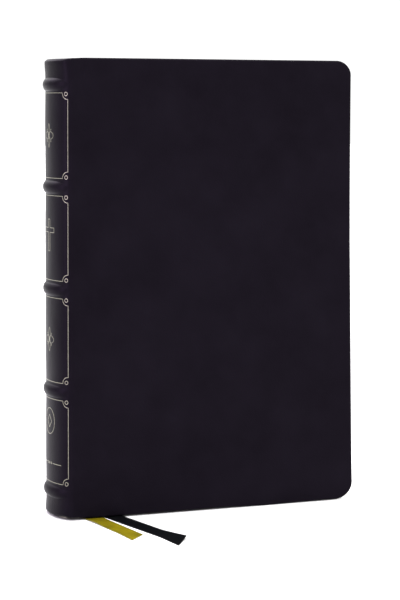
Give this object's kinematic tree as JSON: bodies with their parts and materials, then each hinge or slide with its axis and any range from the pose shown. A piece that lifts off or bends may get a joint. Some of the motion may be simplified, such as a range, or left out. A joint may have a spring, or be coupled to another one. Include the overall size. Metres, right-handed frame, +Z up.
{
  "type": "bible",
  "caption": "Leather-bound bible standing closed: rounded spine with raised bands, hinged covers, sewn page sections, head and tail bands and ribbon markers.",
  "frame": {"origin": "middle of the closed book's footprint on the surface it stands on, without its ribbons", "axes": "+X from the spine to the fore edge, -Y out of the front cover, +Z up from tail to head"},
  "size_m": [0.1688, 0.1102, 0.239],
  "materials": {
    "leather": "soft black grained leather with a slight satin sheen",
    "board": "grey board",
    "kraft_paper": "matt kraft paper",
    "page_paper": "thin uncoated book paper",
    "endpaper": "matt black endpaper",
    "mull": "open-weave starched cotton",
    "band_cloth": "striped gold and black woven band",
    "gold_satin": "woven gold satin ribbon",
    "black_satin": "woven black satin ribbon",
    "gold_foil": "pale gold stamped foil",
    "gilt_edge": "burnished gilt leaf edges"
  },
  "bodies": {
    "book_block": {"spine_leather": "leather", "spine_liner": "board", "raised_band_1": "board", "raised_band_2": "board", "raised_band_3": "board", "raised_band_4": "board", "raised_band_5": "board", "spine_lining": "kraft_paper", "mull": "mull", "headband": "band_cloth", "tailband": "band_cloth", "gold_ribbon": "gold_satin", "black_ribbon": "black_satin", "section_03": "page_paper", "section_04": "page_paper", "section_05": "page_paper", "section_06": "page_paper", "section_07": "page_paper", "section_08": "page_paper", "section_09": "page_paper", "section_10": "page_paper", "section_11": "page_paper", "section_12": "page_paper", "section_13": "page_paper", "section_14": "page_paper", "section_15": "page_paper"},
    "front_cover": {"front_cover_leather": "leather", "front_cover_board": "board", "front_cover_pastedown": "endpaper"},
    "front_flyleaf": {"front_flyleaf": "endpaper"},
    "presentation_leaf": {"presentation_leaf": "page_paper"},
    "title_leaf": {"title_leaf": "page_paper"},
    "section_01": {"section_01": "page_paper"},
    "section_02": {"section_02": "page_paper"},
    "back_cover": {"back_cover_leather": "leather", "back_cover_board": "board", "back_cover_pastedown": "endpaper"},
    "back_flyleaf": {"back_flyleaf": "endpaper"},
    "map_leaf": {"map_leaf": "page_paper"},
    "section_16": {"section_16": "page_paper"}
  },
  "joints": [
    {"name": "front_cover_hinge", "type": "hinge", "parent": "book_block", "child": "front_cover", "pos_m": [-0.0756, -0.0178, 0.1195], "axis": [0, 0, -1], "range_deg": [0, 175]},
    {"name": "front_flyleaf_turn", "type": "hinge", "parent": "book_block", "child": "front_flyleaf", "pos_m": [-0.0756, -0.0178, 0.1195], "axis": [0, 0, -1], "range_deg": [0, 162]},
    {"name": "presentation_leaf_turn", "type": "hinge", "parent": "book_block", "child": "presentation_leaf", "pos_m": [-0.0756, -0.0178, 0.1195], "axis": [0, 0, -1], "range_deg": [0, 146]},
    {"name": "title_leaf_turn", "type": "hinge", "parent": "book_block", "child": "title_leaf", "pos_m": [-0.0756, -0.0178, 0.1195], "axis": [0, 0, -1], "range_deg": [0, 127]},
    {"name": "section_01_turn", "type": "hinge", "parent": "book_block", "child": "section_01", "pos_m": [-0.0756, -0.0178, 0.1195], "axis": [0, 0, -1], "range_deg": [0, 93]},
    {"name": "section_02_turn", "type": "hinge", "parent": "book_block", "child": "section_02", "pos_m": [-0.0756, -0.0178, 0.1195], "axis": [0, 0, -1], "range_deg": [0, 58]},
    {"name": "back_cover_hinge", "type": "hinge", "parent": "book_block", "child": "back_cover", "pos_m": [-0.0756, 0.0178, 0.1195], "axis": [0, 0, 1], "range_deg": [0, 175]},
    {"name": "back_flyleaf_turn", "type": "hinge", "parent": "book_block", "child": "back_flyleaf", "pos_m": [-0.0756, 0.0178, 0.1195], "axis": [0, 0, 1], "range_deg": [0, 158]},
    {"name": "map_leaf_turn", "type": "hinge", "parent": "book_block", "child": "map_leaf", "pos_m": [-0.0756, 0.0178, 0.1195], "axis": [0, 0, 1], "range_deg": [0, 132]},
    {"name": "section_16_turn", "type": "hinge", "parent": "book_block", "child": "section_16", "pos_m": [-0.0756, 0.0178, 0.1195], "axis": [0, 0, 1], "range_deg": [0, 71]}
  ],
  "couplings": [
    {"joint": "front_flyleaf_turn", "follows": "front_cover_hinge", "ratio": 0.92},
    {"joint": "presentation_leaf_turn", "follows": "front_cover_hinge", "ratio": 0.83},
    {"joint": "title_leaf_turn", "follows": "front_cover_hinge", "ratio": 0.72},
    {"joint": "section_01_turn", "follows": "front_cover_hinge", "ratio": 0.53},
    {"joint": "section_02_turn", "follows": "front_cover_hinge", "ratio": 0.33},
    {"joint": "back_flyleaf_turn", "follows": "back_cover_hinge", "ratio": 0.9},
    {"joint": "map_leaf_turn", "follows": "back_cover_hinge", "ratio": 0.75},
    {"joint": "section_16_turn", "follows": "back_cover_hinge", "ratio": 0.4}
  ]
}
